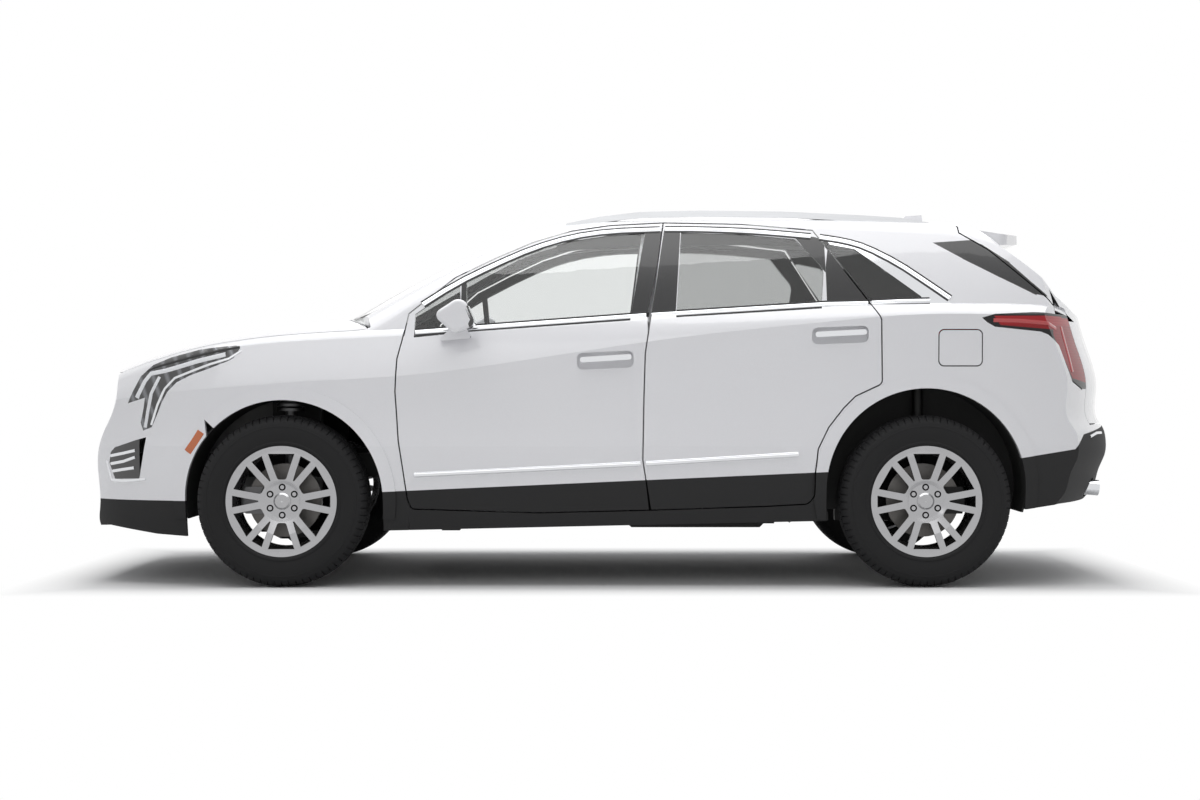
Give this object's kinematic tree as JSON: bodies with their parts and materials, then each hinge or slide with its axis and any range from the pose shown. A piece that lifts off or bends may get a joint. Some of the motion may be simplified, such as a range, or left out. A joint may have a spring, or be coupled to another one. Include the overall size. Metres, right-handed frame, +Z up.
{
  "type": "mid-size suv",
  "caption": "White mid-size suv with swept lamps, chrome window surround, raised roof rails, dark lower cladding, hinged doors, hood and liftgate, steered front wheels.",
  "frame": {"origin": "centre of the bounding box on the ground", "axes": "+X toward the rear, +Y toward the right side, +Z up; the front points to -X"},
  "size_m": [4.8106, 2.184, 1.728],
  "materials": {
    "paint": "pearl gloss",
    "clear_glass": "clear",
    "dark_glass": "privacy tint",
    "alloy": "satin cast",
    "tyre": "matt",
    "grille_bars": "bright",
    "headlamp": "clear lens",
    "tail_lens": "clear red",
    "rails": "satin",
    "iron": "rough",
    "steel": "dull",
    "underbody": "dull primer",
    "trim": "grained",
    "liner": "felted",
    "seat_cloth": "soft",
    "mirror_shell": "pearl gloss"
  },
  "bodies": {
    "body": {"floor_pan": "underbody", "body_side_left": "paint", "body_side_right": "paint", "fender_left": "paint", "fender_right": "paint", "front_bumper": "paint", "grille": "grille_bars", "front_lamps": "headlamp", "fixed_glass": "clear_glass", "tail_lamps": "tail_lens", "rear_bumper": "paint", "roof_panel": "paint", "roof_rails": "rails", "engine": "iron", "front_structure": "underbody", "dashboard": "trim", "front_seats": "seat_cloth", "rear_seat": "seat_cloth", "wheel_liners": "liner", "rear_suspension": "steel", "fuel_tank": "trim", "exhaust": "steel"},
    "hood": {"hood": "paint"},
    "liftgate": {"liftgate": "paint", "liftgate_glass": "dark_glass"},
    "fuel_door": {"fuel_door": "paint"},
    "steering_wheel": {"steering_wheel": "trim"},
    "front_door_left": {"front_door_left": "paint", "front_door_glass_left": "clear_glass", "mirror_left": "mirror_shell"},
    "rear_door_left": {"rear_door_left": "paint", "rear_door_glass_left": "dark_glass"},
    "knuckle_left": {"knuckle_left": "steel"},
    "wheel_front_left": {"wheel_front_left": "alloy", "tyre_front_left": "tyre"},
    "wheel_rear_left": {"wheel_rear_left": "alloy", "tyre_rear_left": "tyre"},
    "front_door_right": {"front_door_right": "paint", "front_door_glass_right": "clear_glass", "mirror_right": "mirror_shell"},
    "rear_door_right": {"rear_door_right": "paint", "rear_door_glass_right": "dark_glass"},
    "knuckle_right": {"knuckle_right": "steel"},
    "wheel_front_right": {"wheel_front_right": "alloy", "tyre_front_right": "tyre"},
    "wheel_rear_right": {"wheel_rear_right": "alloy", "tyre_rear_right": "tyre"}
  },
  "joints": [
    {"name": "hood_hinge", "type": "hinge", "parent": "body", "child": "hood", "pos_m": [-0.992, 0, 1.205], "axis": [0, 1, 0], "range_deg": [0, 50]},
    {"name": "liftgate_hinge", "type": "hinge", "parent": "body", "child": "liftgate", "pos_m": [1.596, 0, 1.678], "axis": [0, -1, 0], "range_deg": [0, 80]},
    {"name": "front_door_left_hinge", "type": "hinge", "parent": "body", "child": "front_door_left", "pos_m": [-0.851, -0.9295, 0.75], "axis": [0, 0, -1], "range_deg": [0, 65]},
    {"name": "rear_door_left_hinge", "type": "hinge", "parent": "body", "child": "rear_door_left", "pos_m": [0.264, -0.9295, 0.75], "axis": [0, 0, -1], "range_deg": [0, 68]},
    {"name": "front_door_right_hinge", "type": "hinge", "parent": "body", "child": "front_door_right", "pos_m": [-0.851, 0.9295, 0.75], "axis": [0, 0, 1], "range_deg": [0, 65]},
    {"name": "rear_door_right_hinge", "type": "hinge", "parent": "body", "child": "rear_door_right", "pos_m": [0.264, 0.9295, 0.75], "axis": [0, 0, 1], "range_deg": [0, 68]},
    {"name": "fuel_door_hinge", "type": "hinge", "parent": "body", "child": "fuel_door", "pos_m": [1.4745, -0.9455, 1.062], "axis": [0, 0, -1], "range_deg": [0, 90]},
    {"name": "steer_left", "type": "hinge", "parent": "body", "child": "knuckle_left", "pos_m": [-1.4385, -0.735, 0.3815], "axis": [0, 0, 1], "range_deg": [-35, 35]},
    {"name": "front_wheel_left_spin", "type": "hinge", "parent": "knuckle_left", "child": "wheel_front_left", "pos_m": [-1.4385, -0.82, 0.3815], "axis": [0, 1, 0], "continuous": true},
    {"name": "rear_wheel_left_spin", "type": "hinge", "parent": "body", "child": "wheel_rear_left", "pos_m": [1.4185, -0.82, 0.3815], "axis": [0, 1, 0], "continuous": true},
    {"name": "steer_right", "type": "hinge", "parent": "body", "child": "knuckle_right", "pos_m": [-1.4385, 0.735, 0.3815], "axis": [0, 0, 1], "range_deg": [-35, 35]},
    {"name": "front_wheel_right_spin", "type": "hinge", "parent": "knuckle_right", "child": "wheel_front_right", "pos_m": [-1.4385, 0.82, 0.3815], "axis": [0, 1, 0], "continuous": true},
    {"name": "rear_wheel_right_spin", "type": "hinge", "parent": "body", "child": "wheel_rear_right", "pos_m": [1.4185, 0.82, 0.3815], "axis": [0, 1, 0], "continuous": true},
    {"name": "steering_wheel_turn", "type": "hinge", "parent": "body", "child": "steering_wheel", "pos_m": [-0.462, -0.38, 0.925], "axis": [0.9063, 0, 0.4226], "range_deg": [-510, 510]}
  ],
  "couplings": [
    {"joint": "steer_right", "follows": "steer_left", "ratio": 1},
    {"joint": "steering_wheel_turn", "follows": "steer_left", "ratio": 14.5}
  ]
}
